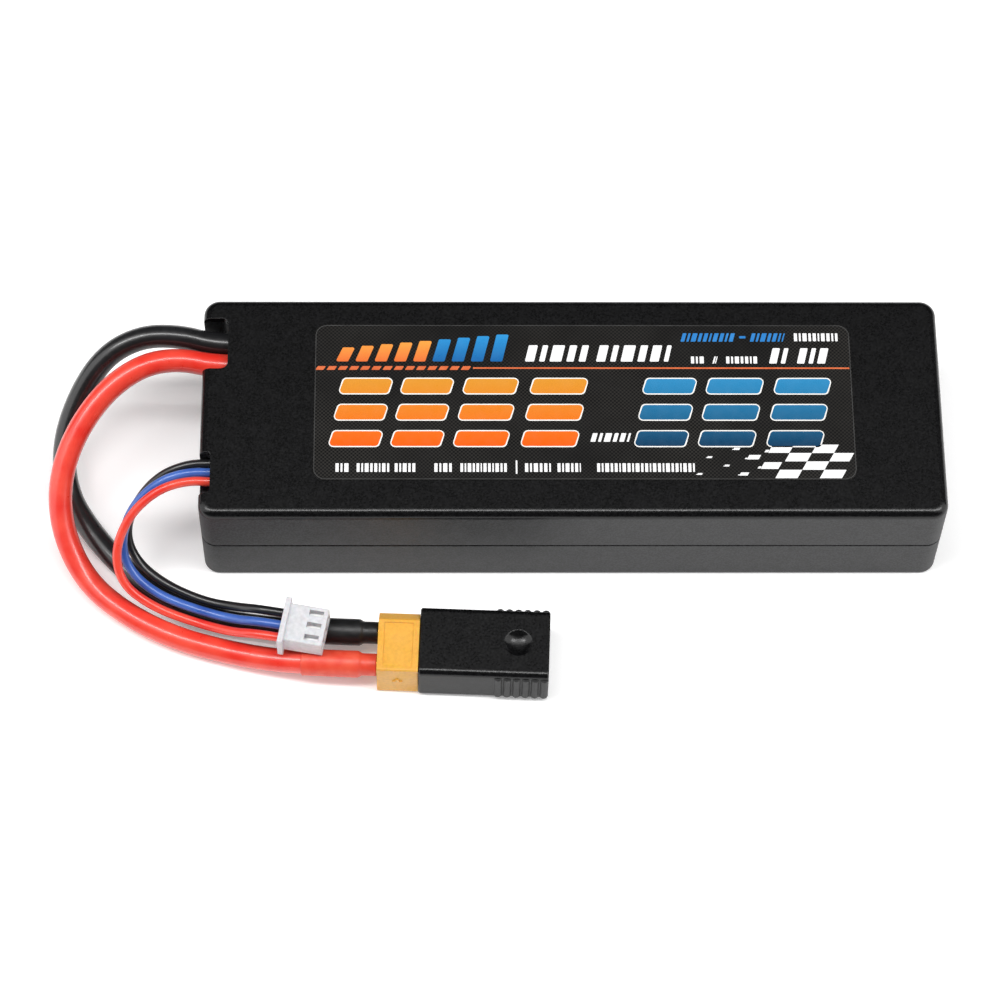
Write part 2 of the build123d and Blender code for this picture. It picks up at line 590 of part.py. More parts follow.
with BuildPart() as balance_plug_housing:
    with BuildSketch(BALANCE_SECTION.offset(-BODY_LENGTH)):
        Rectangle(BODY_WIDTH, BODY_HEIGHT)
        fillet(vertices(), BALANCE_EDGE)
    extrude(amount=BODY_LENGTH)
    with BuildSketch(BALANCE_SECTION.offset(BALANCE_REAR)):
        RectangleRounded(FLANGE_WIDTH, FLANGE_HEIGHT, BALANCE_EDGE)
    extrude(amount=FLANGE_THICK)
    with BuildSketch(BALANCE_SECTION.offset(BALANCE_REAR)):
        with Locations(*CAVITY_SPOTS):
            Rectangle(BALANCE_CAVITY, BALANCE_CAVITY)
    extrude(amount=BODY_LENGTH + FLANGE_THICK, mode=Mode.SUBTRACT)
    # A window in the top over each contact
    window_spots = [
        (-WINDOW_START - BALANCE_WINDOW[0] / 2, across) for across in BALANCE_SPOTS.values()
    ]
    with BuildSketch(BALANCE_PLAN):
        with Locations(*window_spots):
            Rectangle(*BALANCE_WINDOW)
    extrude(amount=BODY_HEIGHT, mode=Mode.SUBTRACT)
save(balance_plug_housing, "balance_plug_housing")

for pole, across in BALANCE_SPOTS.items():
    with BuildPart() as contact:
        with BuildSketch(BALANCE_SECTION.offset(BALANCE_REAR + CONTACT_INSET)):
            with Locations((across, 0)):
                Rectangle(*CONTACT_SIZE)
        extrude(amount=CONTACT_LENGTH)
        with BuildSketch(BALANCE_SECTION.offset(BALANCE_REAR + CONTACT_INSET + CONTACT_LENGTH)):
            with Locations((across, 0)):
                Rectangle(CONTACT_MOUTH, CONTACT_MOUTH)
        extrude(amount=-CONTACT_MOUTH_DEPTH, mode=Mode.SUBTRACT)
    save(contact, f"balance_contact_{pole}")
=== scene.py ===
"""Looks of the two-cell lipo battery pack: its leads, heat shrinks, label print and materials.

Everything is in metres and in the frame of the CAD model: +X along the case, +Z up.
"""

from math import cos, pi, radians, sin

import bmesh
import bpy
from mathutils import Matrix, Vector


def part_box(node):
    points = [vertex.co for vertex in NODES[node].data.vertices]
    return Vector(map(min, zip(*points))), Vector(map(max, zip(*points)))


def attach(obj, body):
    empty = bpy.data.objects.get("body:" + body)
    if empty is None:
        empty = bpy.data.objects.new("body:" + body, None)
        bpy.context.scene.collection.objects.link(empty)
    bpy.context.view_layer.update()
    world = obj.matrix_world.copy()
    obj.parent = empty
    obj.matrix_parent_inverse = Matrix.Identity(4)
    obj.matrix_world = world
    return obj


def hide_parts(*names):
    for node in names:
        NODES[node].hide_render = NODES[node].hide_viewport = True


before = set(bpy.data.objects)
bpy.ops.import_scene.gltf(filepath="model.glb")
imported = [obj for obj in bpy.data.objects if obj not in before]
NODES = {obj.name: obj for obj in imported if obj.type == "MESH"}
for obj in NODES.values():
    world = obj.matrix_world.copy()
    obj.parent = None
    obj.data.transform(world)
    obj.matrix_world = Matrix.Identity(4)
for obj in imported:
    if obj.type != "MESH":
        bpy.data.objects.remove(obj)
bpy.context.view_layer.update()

MM = 0.001
CASE_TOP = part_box("top_shell")[1].z
ADAPTER_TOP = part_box("adapter_body")[1].z
LABEL_LOW, LABEL_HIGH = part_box("label")

# ---- camera ----

CAMERA_ELEVATION = radians(62.8)
CAMERA_DISTANCE = 0.7035
CAMERA_TARGET = Vector((-0.024, -0.0074, 0))
CAMERA_LENS = 132.8
# Turned a little aside, so that the pack and its leads stand in the middle of the picture
CAMERA_TURN = radians(0.885)

back = Vector((0, -cos(CAMERA_ELEVATION), sin(CAMERA_ELEVATION)))
camera_data = bpy.data.cameras.new("camera")
camera_data.lens = CAMERA_LENS
camera = bpy.data.objects.new("camera", camera_data)
camera.location = CAMERA_TARGET + CAMERA_DISTANCE * back
tilt = Matrix.Rotation(pi / 2 - CAMERA_ELEVATION, 3, "X")
camera.rotation_euler = (tilt @ Matrix.Rotation(-CAMERA_TURN, 3, "Y")).to_euler()
bpy.context.scene.collection.objects.link(camera)
bpy.context.scene.camera = camera

# ---- leads ----

POWER_DIAMETER = 4.4 * MM
BALANCE_DIAMETER = 1.7 * MM

# Control points in millimetres, from the tab board to the plugs
ROUTES = {
    "power_lead_negative": [
        (-62.0, 15.3, 19.7), (-67.1, 15.3, 19.7), (-73.6, 16.5, 21.1), (-81.0, 16.5, 20.9),
        (-88.0, 13.7, 18.2), (-93.2, 7.9, 12.2), (-96.2, 0.6, 6.2), (-95.2, -7.5, 2.9),
        (-91.0, -14.6, 2.25), (-84.6, -22.5, 2.25), (-76.4, -29.3, 2.25), (-67.2, -33.6, 2.3),
        (-57.3, -35.6, 3.0), (-46.867, -37.23, 4.8), (-39.175, -37.526, 4.8),
    ],
    "power_lead_positive": [
        (-62.0, 10.8, 19.6), (-67.1, 10.8, 19.6), (-73.6, 11.4, 21.3), (-80.4, 9.9, 21.7),
        (-87.4, 5.4, 19.6), (-93.2, -2.0, 15.6), (-96.0, -10.0, 11.2), (-95.2, -18.0, 6.6),
        (-90.8, -26.0, 2.7), (-83.4, -32.4, 2.25), (-74.2, -37.4, 2.25), (-64.0, -40.4, 2.3),
        (-55.6, -42.4, 3.2), (-47.117, -43.725, 4.8), (-39.424, -44.021, 4.8),
    ],
    "balance_lead_negative": [
        (-62.0, -10.6, 20.9), (-66.2, -10.6, 20.9), (-71.0, -10.7, 21.1), (-76.6, -12.0, 19.0),
        (-81.0, -14.9, 14.4), (-83.4, -18.8, 9.2), (-81.4, -23.2, 5.8), (-75.8, -28.0, 5.5),
        (-68.4, -31.3, 5.1), (-62.6, -33.0, 6.4), (-57.43, -35.07, 9.6), (-51.83, -36.1, 9.6),
    ],
    "balance_lead_middle": [
        (-62.0, -12.5, 20.9), (-66.2, -12.5, 20.9), (-71.2, -12.6, 21.4), (-76.6, -13.9, 20.2),
        (-81.6, -17.1, 16.5), (-84.0, -21.6, 11.0), (-82.6, -25.8, 7.2), (-77.2, -30.2, 5.7),
        (-69.4, -33.3, 5.5), (-62.8, -35.6, 6.4), (-57.89, -37.52, 9.6), (-52.29, -38.56, 9.6),
    ],
    "balance_lead_positive": [
        (-62.0, -14.4, 20.9), (-66.2, -14.4, 20.9), (-71.4, -14.5, 21.6), (-77.0, -16.2, 20.9),
        (-82.2, -19.8, 17.4), (-84.9, -24.5, 12.1), (-83.6, -29.1, 7.6), (-77.6, -32.6, 5.0),
        (-69.6, -35.4, 4.3), (-63.0, -38.2, 6.4), (-58.35, -39.98, 9.6), (-52.74, -41.02, 9.6),
    ],
}


def link(name, data):
    """A new object in the scene for a mesh or curve."""
    piece = bpy.data.objects.new(name, data)
    bpy.context.scene.collection.objects.link(piece)
    return piece


def route_curve(name, points, diameter=0.0):
    """A smooth line led by the route's points, round and filled if it has a diameter."""
    curve = bpy.data.curves.new(name, "CURVE")
    curve.dimensions = "3D"
    curve.resolution_u = 20
    spline = curve.splines.new("NURBS")
    spline.points.add(len(points) - 1)
    for spot, point in zip(spline.points, points):
        spot.co = (*(Vector(point) * MM), 1)
        spot.radius = diameter / 2
    spline.order_u = 3
    spline.use_endpoint_u = True
    if diameter:
        # The points carry the radius, so the bevel is a unit one
        curve.bevel_depth = 1
        curve.bevel_resolution = 10
        curve.use_fill_caps = True
    return curve


def route_line(name, points):
    """The points along a route's smooth line."""
    holder = link(name + "_line", route_curve(name + "_line", points))
    bpy.context.view_layer.update()
    mesh = bpy.data.meshes.new_from_object(holder)
    line = [vertex.co.copy() for vertex in mesh.vertices]
    bpy.data.meshes.remove(mesh)
    bpy.data.objects.remove(holder)
    return line


leads = {}
for name, points in ROUTES.items():
    diameter = POWER_DIAMETER if name.startswith("power") else BALANCE_DIAMETER
    leads[name] = link(name.replace("lead", "wire"), route_curve(name, points, diameter))
    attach(leads[name], "pack")
    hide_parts(name)

# ---- heat shrinks ----

SHRINK_WALL = 0.3 * MM
SHRINK_SLACK = 0.02 * MM
SHRINK_FROM = -49.6 * MM
CUP_INNER = 1.78 * MM
CUP_OUTER = 2.08 * MM
CUP_LENGTH = 3.15 * MM
NECK_LENGTH = 1.1 * MM
RING_STEP = 0.22 * MM
RING_SIDES = 40


def lathe_along(name, line, rings):
    """A closed tube round a line. Each ring is (distance along the line, radius as a function of angle)."""
    distances = [0.0]
    for before, after in zip(line, line[1:]):
        distances.append(distances[-1] + (after - before).length)

    def place(distance):
        """The point at that distance, past the line's end too, and the direction there."""
        spot = 1
        while spot < len(line) - 1 and distances[spot] < distance:
            spot += 1
        start = line[spot - 1]
        along = (line[spot] - start).normalized()
        return start + along * (distance - distances[spot - 1]), along

    mesh = bmesh.new()
    previous = None
    first = None
    for distance, radius_at in rings:
        centre, along = place(distance)
        side = Vector((0, 0, 1)).cross(along).normalized()
        up = along.cross(side)
        ring = []
        for step in range(RING_SIDES):
            angle = 2 * pi * step / RING_SIDES
            radius = radius_at(angle)
            ring.append(mesh.verts.new(centre + radius * (cos(angle) * side + sin(angle) * up)))
        if previous:
            for step in range(RING_SIDES):
                following = (step + 1) % RING_SIDES
                mesh.faces.new((previous[step], previous[following], ring[following], ring[step]))
        first = first or ring
        previous = ring
    for step in range(RING_SIDES):
        following = (step + 1) % RING_SIDES
        mesh.faces.new((previous[step], previous[following], first[following], first[step]))
    bmesh.ops.recalc_face_normals(mesh, faces=mesh.faces)
    data = bpy.data.meshes.new(name)
    mesh.to_mesh(data)
    mesh.free()
    for face in data.polygons:
        face.use_smooth = True
    return link(name, data)


def shrink_radius(fraction_on_cup, ripple):
    """The outer radius of a heat shrink where it has gone that far down onto the solder cup."""
    wide = POWER_DIAMETER / 2 + SHRINK_WALL
    ease = fraction_on_cup * fraction_on_cup * (3 - 2 * fraction_on_cup)
    base = wide + (CUP_OUTER - wide) * ease
    return lambda angle: base + ripple * (sin(3 * angle + 2.1) + 0.6 * sin(5 * angle))


shrinks = {}
for pole in ("negative", "positive"):
    line = route_line(f"power_{pole}", ROUTES[f"power_lead_{pole}"])
    while line[1].x < SHRINK_FROM:
        line.pop(0)
    length = sum((after - before).length for before, after in zip(line, line[1:]))
    total = length + CUP_LENGTH
    inner = POWER_DIAMETER / 2 + SHRINK_SLACK
    rings = [(0.0, lambda angle: inner), (0.0, shrink_radius(0, -0.04 * MM))]
    count = int(total / RING_STEP)
    for step in range(1, count):
        distance = total * step / count
        past = min(1, max(0, (distance - length + 0.4 * NECK_LENGTH) / NECK_LENGTH))
        ripple = 0.012 * MM * sin(distance / (1.9 * MM)) + 0.02 * MM * sin(pi * past)
        rings.append((distance, shrink_radius(past, ripple)))
    rings.append((total, shrink_radius(1, -0.03 * MM)))
    rings.append((total, lambda angle: CUP_INNER))
    rings.append((length, lambda angle: CUP_INNER))
    rings.append((length, lambda angle: inner))
    shrinks[pole] = lathe_along(f"shrink_sleeve_{pole}", line, rings)
    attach(shrinks[pole], "pack")
    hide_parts(f"heat_shrink_{pole}")

# ---- what the leads are, and what is on them ----

LEAD_FACTS = {
    "power_lead_negative": (122.7, "silicone_black"),
    "power_lead_positive": (121.5, "silicone_red"),
    "balance_lead_negative": (67.8, "silicone_black"),
    "balance_lead_middle": (68.7, "silicone_blue"),
    "balance_lead_positive": (70.7, "silicone_red"),
}
ADAPTER_NODES = [name for name in NODES if name.startswith("adapter")]

for name, (length, slot) in LEAD_FACTS.items():
    family, _, pole = name.rsplit("_", 2)
    if family == "power":
        plug = [NODES["main_plug_housing"], NODES[f"main_socket_{pole}"], shrinks[pole]]
        plug += [NODES[piece] for piece in ADAPTER_NODES]
    else:
        plug = [NODES["balance_plug_housing"], NODES[f"balance_contact_{pole}"]]

# ---- label print ----

PRINT_STEP = 0.012 * MM
CORNER_STEPS = 6


def rounded(corners, radius):
    """The outline through convex corners, in order, with each corner rounded by an arc."""
    outline = []
    count = len(corners)
    for index in range(count):
        corner = Vector(corners[index])
        to_before = (Vector(corners[index - 1]) - corner).normalized()
        to_after = (Vector(corners[(index + 1) % count]) - corner).normalized()
        half = to_before.angle(to_after) / 2
        centre = corner + (to_before + to_after).normalized() * radius / sin(half)
        start = (corner + to_before * radius * cos(half) / sin(half)) - centre
        sweep = start.angle_signed((corner + to_after * radius * cos(half) / sin(half)) - centre)
        for step in range(CORNER_STEPS + 1):
            turned = start.copy()
            turned.rotate(Matrix.Rotation(-sweep * step / CORNER_STEPS, 2))
            outline.append(centre + turned)
    return outline


def slanted(low, high, slant=0.0, radius=0.2):
    """A bar between two corners, leaning to the right by slant."""
    (x0, y0), (x1, y1) = low, high
    half = slant / 2
    return rounded([(x0 - half, y0), (x1 - half, y0), (x1 + half, y1), (x0 + half, y1)], radius)


def printed(name, outlines, layer):
    """Thin printed shapes on the label, in millimetres. A higher layer covers a lower one."""
    top = LABEL_HIGH.z + PRINT_STEP * layer
    mesh = bmesh.new()
    for outline in outlines:
        low = [mesh.verts.new((x * MM, y * MM, LABEL_HIGH.z)) for x, y in outline]
        high = [mesh.verts.new((x * MM, y * MM, top)) for x, y in outline]
        mesh.faces.new(high)
        mesh.faces.new(reversed(low))
        for index in range(len(outline)):
            mesh.faces.new((low[index - 1], low[index], high[index], high[index - 1]))
    bmesh.ops.recalc_face_normals(mesh, faces=mesh.faces)
    data = bpy.data.meshes.new(name)
    mesh.to_mesh(data)
    mesh.free()
    piece = link(name, data)
    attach(piece, "pack")
    return piece


# Blocks of three stout bars, four orange and three blue
BLOCK_Y = (-8.6, 5.6)
BAR_HEIGHT = 3.1
BAR_LEAN = 1.0
BAR_INSET = 0.6
BAR_CORNER = 0.7
BLOCK_EDGE = 0.24
ORANGE_BLOCKS = [(-44.4, -34.1), (-33.0, -22.7), (-21.4, -10.6), (-8.9, 2.3)]
BLUE_BLOCKS = [(12.1, 22.6), (23.9, 35.1), (36.6, 47.7)]


def block_bars(blocks, grow):
    """The three bars of each block, grown on all sides."""
    bars = []
    pitch = (BLOCK_Y[1] - BLOCK_Y[0] - BAR_HEIGHT) / 2
    for x0, x1 in blocks:
        for row in range(3):
            low = BLOCK_Y[0] + row * pitch
            shift = (row - 1) * BAR_LEAN * pitch / BAR_HEIGHT / 2
            bars.append(slanted(
                (x0 + shift + BAR_INSET - grow, low - grow),
                (x1 + shift - BAR_INSET + grow, low + BAR_HEIGHT + grow),
                BAR_LEAN, BAR_CORNER + grow,
            ))
    return bars


# Rows of upright ticks: (from x, to x, low y, high y, lean, width of a tick)
WHITE_ROWS = [
    (-8.3, 3.0, 9.3, 12.8, 0.8, 1.7), (5.0, 19.2, 9.3, 12.8, 0.8, 1.7),
    (22.4, 25.0, 8.9, 10.4, 0, 0.6), (26.6, 27.4, 8.9, 10.4, 0.4, 0.3), (29.0, 35.2, 8.9, 10.4, 0, 0.6),
    (37.4, 41.6, 8.9, 12.2, 0.8, 1.4), (42.6, 47.9, 8.9, 12.2, 0.8, 1.4),
    (41.9, 50.1, 13.7, 15.4, 0, 0.6),
    (3.5, 10.6, -7.7, -5.9, 0.5, 0.9),
    (-43.8, -41.0, -14.0, -12.2, 0, 0.6), (-39.9, -33.9, -14.0, -12.2, 0, 0.55),
    (-32.9, -28.8, -14.0, -12.2, 0, 0.55), (-25.6, -21.9, -14.0, -12.2, 0, 0.6),
    (-20.8, -12.2, -14.0, -12.2, 0, 0.5), (-10.6, -10.2, -14.4, -11.6, 0, 0.3),
    (-8.9, -3.9, -14.0, -12.2, 0, 0.6), (-2.9, 1.4, -14.0, -12.2, 0, 0.55),
    (4.4, 22.7, -14.0, -12.2, 0, 0.55),
]
BLUE_ROWS = [(20.8, 30.6, 13.6, 15.4, 0.5, 0.7), (31.6, 32.8, 14.3, 14.8, 0, 1.2),
             (33.8, 40.0, 13.6, 15.4, 0.5, 0.7)]
TICK_WIDTHS = (1.0, 0.6, 1.3, 0.8, 1.0, 0.5, 1.15)
TICK_GAP = 0.55
TICK_CORNER = 0.12
LABEL_X = (LABEL_LOW.x / MM, LABEL_HIGH.x / MM)


def tick_rows(rows):
    """Ticks of uneven width that fill each row."""
    ticks = []
    for x0, x1, y0, y1, lean, width in rows:
        x = x0
        turn = 0
        while x < x1 - 0.3 * width:
            end = min(x1, x + width * TICK_WIDTHS[turn % len(TICK_WIDTHS)])
            ticks.append(slanted((x, y0), (end, y1), lean, TICK_CORNER * width))
            x = end + TICK_GAP * width
            turn += 1
    return ticks


EMBLEM_X = -43.4
EMBLEM_Y = (9.3, 12.3)
EMBLEM_PITCH = 3.6
EMBLEM_BAR_WIDTH = 2.3
EMBLEM_GROWTH = 0.35
EMBLEM_LEAN = 1.3
EMBLEM_CORNER = 0.3


def emblem_bars(first, count):
    """Leaning bars of a plain emblem, each a little taller than the one before."""
    bars = []
    for index in range(first, first + count):
        x0 = EMBLEM_X + EMBLEM_PITCH * index
        bars.append(slanted(
            (x0, EMBLEM_Y[0]), (x0 + EMBLEM_BAR_WIDTH, EMBLEM_Y[1] + EMBLEM_GROWTH * index),
            EMBLEM_LEAN, EMBLEM_CORNER,
        ))
    return bars


FLAG_X = (25.0, 52.0)
FLAG_Y = -15.3
FLAG_CELL = (4.1, 1.75)
FLAG_COLUMNS, FLAG_ROWS = 7, 4
FLAG_LEAN = 0.55 * FLAG_CELL[1]
FLAG_END_GAP = 0.6
FLAG_CORNER = 0.04
# The cells are whole from here to the right, and shrink to the left of it
FLAG_SOLID_X = 37.0
SMALLEST_CELL = 0.22
FLECK_SIZE = 0.35
FLECK_CORNER = 0.03
LABEL_MARGIN = 0.9


def flag_cells():
    """A chequered band that breaks up into small flecks towards the left."""
    cells = []
    for column in range(FLAG_COLUMNS):
        for row in range(FLAG_ROWS):
            if (column + row) % 2:
                continue
            shift = FLAG_LEAN * (row - (FLAG_ROWS - 1) / 2)
            x0 = FLAG_X[1] - FLAG_END_GAP - (column + 1) * FLAG_CELL[0] + shift
            y0 = FLAG_Y + row * FLAG_CELL[1]
            size = (x0 - FLAG_X[0]) / (FLAG_SOLID_X - FLAG_X[0])
            size = min(1.0, max(SMALLEST_CELL, size))
            middle = (x0 + FLAG_CELL[0] / 2, y0 + FLAG_CELL[1] / 2)
            half = (FLAG_CELL[0] * size / 2, FLAG_CELL[1] * size / 2)
            left = middle[0] - half[0]
            right = min(middle[0] + half[0], LABEL_X[1] - LABEL_MARGIN)
            cells.append(slanted(
                (left, middle[1] - half[1]), (right, middle[1] + half[1]), FLAG_LEAN * size, FLAG_CORNER,
            ))
            if size < 1:
                # A fleck beside each shrunken cell
                fleck = FLECK_SIZE * size
                cells.append(slanted(
                    (left - 3 * fleck, middle[1] - 2.2 * fleck),
                    (left - fleck, middle[1] - 0.6 * fleck), fleck, FLECK_CORNER,
                ))
    return cells


LABEL_CORNER = 2.3


def ring_outline(inset, width):
    """The painted highlight along the label's edge: four straight strips and four corner arcs."""
    x0, x1 = LABEL_X[0] + inset, LABEL_X[1] - inset
    y0, y1 = LABEL_LOW.y / MM + inset, LABEL_HIGH.y / MM - inset
    outer = rounded([(x0, y0), (x1, y0), (x1, y1), (x0, y1)], LABEL_CORNER - inset)
    x0, x1, y0, y1 = x0 + width, x1 - width, y0 + width, y1 - width
    inner = rounded([(x0, y0), (x1, y0), (x1, y1), (x0, y1)], LABEL_CORNER - inset - width)
    count = len(outer)
    return [
        (outer[index - 1], outer[index], inner[index], inner[index - 1])
        for index in range(count)
        if (outer[index] - outer[index - 1]).length > 1e-4
    ]


# A stripe across the label: dashes on the left, and a thin line from them to the right
STRIPE_Y = 7.9
DASH_X = (-47.6, -18.4)
DASH_COUNT = 14
DASH_HALF_HEIGHT = 0.4
DASH_FILL = 0.72
THIN_HALF_HEIGHT = 0.16
EDGE_LINE_INSET = 0.15
EDGE_LINE_WIDTH = 0.12

dashes = []
dash = (DASH_X[1] - DASH_X[0]) / DASH_COUNT
for index in range(DASH_COUNT):
    x0 = DASH_X[0] + dash * index
    dashes.append(slanted(
        (x0, STRIPE_Y - DASH_HALF_HEIGHT), (x0 + dash * DASH_FILL, STRIPE_Y + DASH_HALF_HEIGHT), 0.5, 0.1,
    ))
thin_line = slanted(
    (DASH_X[1], STRIPE_Y - THIN_HALF_HEIGHT), (LABEL_X[1] - 0.4, STRIPE_Y + THIN_HALF_HEIGHT), 0, 0.05,
)

# Each print's outlines and layer
PRINT_SHAPES = {
    "print_block_outlines": (block_bars(ORANGE_BLOCKS + BLUE_BLOCKS, BLOCK_EDGE), 1),
    "print_orange_blocks": (block_bars(ORANGE_BLOCKS, 0), 2),
    "print_blue_blocks": (block_bars(BLUE_BLOCKS, 0), 2),
    "print_white_ticks": (tick_rows(WHITE_ROWS), 1),
    "print_blue_ticks": (tick_rows(BLUE_ROWS), 1),
    "print_emblem_orange": (emblem_bars(0, 5), 1),
    "print_emblem_blue": (emblem_bars(5, 4), 1),
    "print_flag": (flag_cells(), 1),
    "print_edge_line": (ring_outline(EDGE_LINE_INSET, EDGE_LINE_WIDTH), 1),
    "print_stripe": ([thin_line, *dashes], 1),
}
prints = {name: printed(name, *shapes) for name, shapes in PRINT_SHAPES.items()}

# ---- materials ----

TOP_ROUGHNESS = 0.3
EDGE_ROUGHNESS = 0.22
SIDE_ROUGHNESS = 0.5
EDGE_SOFTENING = 0.25 * MM


class Shading:
    """A material under construction: short calls for the nodes that these finishes share."""

    def __init__(self, name):
        self.material = bpy.data.materials.new(name)
        self.material.use_nodes = True
        self.tree = self.material.node_tree
        self.shader = self.tree.nodes["Principled BSDF"]
        self.place = self.node("ShaderNodeTexCoord").outputs["Object"]

    def node(self, kind, **settings):
        made = self.tree.nodes.new(kind)
        for key, value in settings.items():
            setattr(made, key, value)
        return made

    def feed(self, source, target):
        """Links an output to a socket, or sets the socket to a plain value."""
        if isinstance(source, bpy.types.NodeSocket):
            self.tree.links.new(source, target)
        else:
            target.default_value = source

    def math(self, operation, first, second):
        made = self.node("ShaderNodeMath", operation=operation)
        self.feed(first, made.inputs[0])
        self.feed(second, made.inputs[1])
        return made.outputs[0]

    def noise(self, size, detail=3.0, stretch=(1, 1, 1)):
        """Noise from 0 to 1 whose features are about size metres across."""
        mapping = self.node("ShaderNodeMapping")
        mapping.inputs["Scale"].default_value = stretch
        self.feed(self.place, mapping.inputs["Vector"])
        made = self.node("ShaderNodeTexNoise")
        self.feed(mapping.outputs[0], made.inputs["Vector"])
        made.inputs["Scale"].default_value = 1 / size
        made.inputs["Detail"].default_value = detail
        return made.outputs["Fac"]

    def ranged(self, source, from_low, from_high, low, high):
        """The source's own range, carried over to another and clamped there."""
        made = self.node("ShaderNodeMapRange")
        self.feed(source, made.inputs["Value"])
        for socket, value in zip(made.inputs[1:5], (from_low, from_high, low, high)):
            socket.default_value = value
        return made.outputs[0]

    def spread(self, source, low, high):
        """Noise, which is mostly from 0.3 to 0.7, spread between low and high."""
        return self.ranged(source, 0.3, 0.7, low, high)

    def mix(self, factor, first, second):
        """Between two colours."""
        made = self.node("ShaderNodeMix", data_type="RGBA")
        self.feed(factor, made.inputs["Factor"])
        self.feed(first, made.inputs["A"])
        self.feed(second, made.inputs["B"])
        return made.outputs["Result"]

    def bump(self, height, distance, strength=1.0, normal=None):
        made = self.node("ShaderNodeBump")
        made.inputs["Distance"].default_value = distance
        made.inputs["Strength"].default_value = strength
        self.feed(height, made.inputs["Height"])
        if normal:
            self.feed(normal, made.inputs["Normal"])
        return made.outputs[0]

    def softened(self, radius):
        """Normals rounded over the edges, and how near an edge is, from 0 to 1."""
        bevel = self.node("ShaderNodeBevel", samples=6)
        bevel.inputs["Radius"].default_value = radius
        turned = self.node("ShaderNodeVectorMath", operation="DOT_PRODUCT")
        self.feed(bevel.outputs[0], turned.inputs[0])
        self.feed(self.node("ShaderNodeNewGeometry").outputs["Normal"], turned.inputs[1])
        return bevel.outputs[0], self.ranged(turned.outputs["Value"], 0.995, 0.8, 0, 1)

    def finish(self, color, roughness, normal=None, **constants):
        self.feed(color, self.shader.inputs["Base Color"])
        self.feed(roughness, self.shader.inputs["Roughness"])
        if normal:
            self.feed(normal, self.shader.inputs["Normal"])
        for key, value in constants.items():
            self.shader.inputs[key.replace("_", " ")].default_value = value
        return self.material


def black_plastic(name, top, edge_depth, grain, depth, side_painted_light, gloss):
    """Grainy black plastic: a satin top; a rounded edge round it that is rubbed smooth, its colour painted
    brighter as part wear and part painted highlight; and dull sides painted lighter than the top as painted
    light.
    """
    make = Shading(name)
    black = rgb(13, 13, 14)
    parts = make.node("ShaderNodeSeparateXYZ")
    make.feed(make.place, parts.inputs[0])
    height = parts.outputs["Z"]
    speckle = make.noise(grain, 1)
    fleck = make.spread(speckle, 0, 1)
    on_top = make.mix(fleck, shade(black, 0.3), shade(black, 1.4))
    grit = make.ranged(speckle, 0.4, 0.6, 0, 1)
    # Painted light: the sides get a colour several times lighter than the top's, standing in for the bright
    # floor that they reflect.
    painted_lit_side = make.mix(grit, shade(black, 0), shade(black, side_painted_light))
    upper = make.ranged(height, top - edge_depth, top - 0.8 * edge_depth, 0, 1)
    base = make.mix(upper, painted_lit_side, on_top)
    cloud = make.noise(14 * MM, 3)
    base = make.mix(make.spread(cloud, 0, 0.05), base, shade(black, 3))
    normal, near = make.softened(EDGE_SOFTENING)
    # Partly wear, partly painted highlight: near the rounded edges the colour is painted brighter, in
    # patches.
    edge_brightening = make.math("MULTIPLY", near, make.spread(make.noise(1.3 * MM, 3), 0.2, 0.7))
    base = make.mix(edge_brightening, base, shade(black, 5))
    edge = make.ranged(
        height, top - edge_depth, top - 0.7 * edge_depth, SIDE_ROUGHNESS, EDGE_ROUGHNESS)
    flat = make.ranged(height, top - 0.03 * MM, top, 0, TOP_ROUGHNESS - EDGE_ROUGHNESS)
    rough = make.math("ADD", make.math("ADD", edge, flat), make.spread(speckle, -0.03, 0.04))
    rough = make.math("ADD", rough, make.spread(make.noise(2.5 * MM, 4), -0.02, 0.02))
    normal = make.bump(speckle, depth, 1.0, normal)
    return make.finish(base, rough, normal, Specular_IOR_Level=gloss)


def rgb(red, green, blue):
    """A colour as a screen shows it, 0 to 255, in linear light."""
    linear = [
        part / 255 / 12.92 if part < 10 else ((part / 255 + 0.055) / 1.055) ** 2.4
        for part in (red, green, blue)
    ]
    return (*linear, 1)


def shade(color, factor):
    """A colour made darker or lighter."""
    return (*(min(1.0, part * factor) for part in color[:3]), 1)


def moulded(name, color, roughness, grain, depth, edge=None, wear=1.0, mottle=0.12, **constants):
    """Moulded plastic: fine grain, slight mottling, and edges that are rubbed a little brighter."""
    make = Shading(name)
    cloud = make.noise(9 * MM, 4)
    speckle = make.noise(grain * 1.6, 2)
    base = make.mix(make.spread(cloud, 0, 1), shade(color, 1 - mottle), shade(color, 1 + mottle))
    base = make.mix(make.spread(speckle, 0, 0.35), base, shade(color, 1.5))
    normal = None
    rough = make.spread(make.noise(3 * MM, 5), roughness - 0.12, roughness + 0.12)
    if edge:
        normal, near = make.softened(edge)
        edge_brightening = make.math("MULTIPLY", near, make.spread(make.noise(1.3 * MM, 3), 0.25, 0.9))
        base = make.mix(edge_brightening, base, shade(color, wear))
        rough = make.math("SUBTRACT", rough, make.math("MULTIPLY", edge_brightening, 0.1))
    normal = make.bump(make.noise(grain, 2), depth, 1.0, normal)
    return make.finish(base, rough, normal, **constants)


def silicone(name, color, light):
    """A soft extruded lead: a smooth skin with faint marks along it."""
    make = Shading(name)
    cloud = make.noise(6 * MM, 3)
    scuff = make.noise(0.9 * MM, 5)
    base = make.mix(make.spread(cloud, 0, 1), color, light)
    rough = make.spread(scuff, 0.27, 0.4)
    normal = make.bump(make.noise(1.4 * MM, 2), 0.012 * MM, 0.6)
    return make.finish(
        base, rough, normal, Coat_Weight=0.45, Coat_Roughness=0.1, Specular_IOR_Level=0.5)


